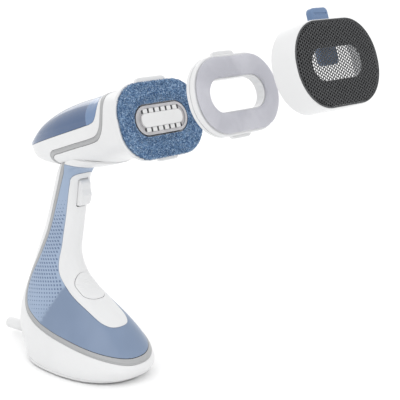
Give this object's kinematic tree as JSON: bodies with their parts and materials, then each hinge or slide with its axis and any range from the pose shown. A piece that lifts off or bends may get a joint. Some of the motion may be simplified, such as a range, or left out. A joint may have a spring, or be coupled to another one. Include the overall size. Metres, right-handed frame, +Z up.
{
  "type": "handheld garment steamer",
  "caption": "Handheld garment steamer on a weighted foot, with tilted steam head, removable rear water tank, trigger, push button and slip-on pad, velvet ring and mesh cap.",
  "frame": {"origin": "centre of the foot's footprint on the floor, under the handle", "axes": "+X the way the steam head faces, +Y to the object's left, +Z up"},
  "size_m": [0.4933, 0.115, 0.4106],
  "materials": {
    "white_plastic": "satin moulded",
    "grey_trim": "satin moulded",
    "blue_panel": "satin moulded",
    "tank_blue": "translucent gloss",
    "dark_plastic": "matte",
    "rubber_grey": "matte",
    "cast_metal": "cast",
    "bright_steel": "bright",
    "copper_wire": "insulated",
    "silicone": "soft",
    "circuit_green": "solder mask",
    "microfibre": "terry microfibre",
    "velvet": "short velvet",
    "mesh_black": "open spacer mesh",
    "cartridge_blue": "satin"
  },
  "bodies": {
    "housing": {"barrel_housing": "white_plastic", "base_frame": "dark_plastic", "base_plate": "white_plastic", "base_screw_1": "bright_steel", "base_screw_2": "bright_steel", "base_screw_3": "bright_steel", "base_screw_4": "bright_steel", "board_capacitor": "dark_plastic", "board_relay_1": "dark_plastic", "board_relay_2": "dark_plastic", "board_transformer": "copper_wire", "body_trim": "grey_trim", "button_switch": "dark_plastic", "chamber_gasket": "silicone", "control_board": "circuit_green", "cord_gland": "white_plastic", "front_bezel": "white_plastic", "front_grip": "white_plastic", "head_trim": "grey_trim", "heater_terminals": "bright_steel", "inlet_hose": "silicone", "neck_collar": "white_plastic", "outlet_hose": "silicone", "plate_insert": "white_plastic", "pump": "dark_plastic", "pump_bracket": "bright_steel", "rear_shell": "white_plastic", "rubber_foot_1": "rubber_grey", "rubber_foot_2": "rubber_grey", "rubber_foot_3": "rubber_grey", "rubber_foot_4": "rubber_grey", "rubber_foot_5": "rubber_grey", "side_panel": "blue_panel", "steam_chamber": "cast_metal", "steam_plate": "cast_metal", "strain_relief": "white_plastic", "tank_cradle": "white_plastic", "tank_deck": "white_plastic", "thermal_fuse": "silicone", "thermostat": "bright_steel", "trigger_microswitch": "dark_plastic", "trigger_pin": "bright_steel", "trigger_spring": "bright_steel", "valve_seal": "silicone", "wire_harness": "copper_wire"},
    "tank": {"water_tank": "tank_blue", "tank_valve": "white_plastic", "filler_plug": "rubber_grey"},
    "terry_head": {"pad_frame": "white_plastic", "microfibre_pad": "microfibre"},
    "velvet_head": {"delicate_frame": "white_plastic", "delicate_pad": "velvet"},
    "mesh_cap": {"cap_shell": "white_plastic", "cap_inner_plate": "white_plastic", "cap_mesh": "mesh_black"},
    "cartridge": {"scent_cartridge": "cartridge_blue"},
    "trigger": {"trigger": "white_plastic"},
    "power_button": {"power_button": "white_plastic"}
  },
  "joints": [
    {"name": "tank_slide", "type": "slide", "parent": "housing", "child": "tank", "axis": [-0.9505, 0, -0.3107], "range_m": [0, 0.06]},
    {"name": "terry_head_slide", "type": "slide", "parent": "housing", "child": "terry_head", "axis": [0.9505, 0, 0.3107], "range_m": [0, 0.03]},
    {"name": "velvet_head_slide", "type": "slide", "parent": "housing", "child": "velvet_head", "axis": [0.9505, 0, 0.3107], "range_m": [-0.06, 0]},
    {"name": "mesh_cap_slide", "type": "slide", "parent": "housing", "child": "mesh_cap", "axis": [0.9505, 0, 0.3107], "range_m": [-0.08, 0]},
    {"name": "cartridge_slide", "type": "slide", "parent": "mesh_cap", "child": "cartridge", "axis": [-0.3107, 0, 0.9505], "range_m": [0, 0.02]},
    {"name": "trigger_pivot", "type": "hinge", "parent": "housing", "child": "trigger", "pos_m": [-0.013, 0, 0.206], "axis": [0, 1, 0], "range_deg": [0, 6], "stiffness_Nm_per_rad": 0.4, "springref_deg": -5.73},
    {"name": "button_press", "type": "slide", "parent": "housing", "child": "power_button", "axis": [-0.6428, 0, -0.766], "range_m": [0, 0.0015], "stiffness_N_per_m": 400, "springref_m": -0.001}
  ]
}
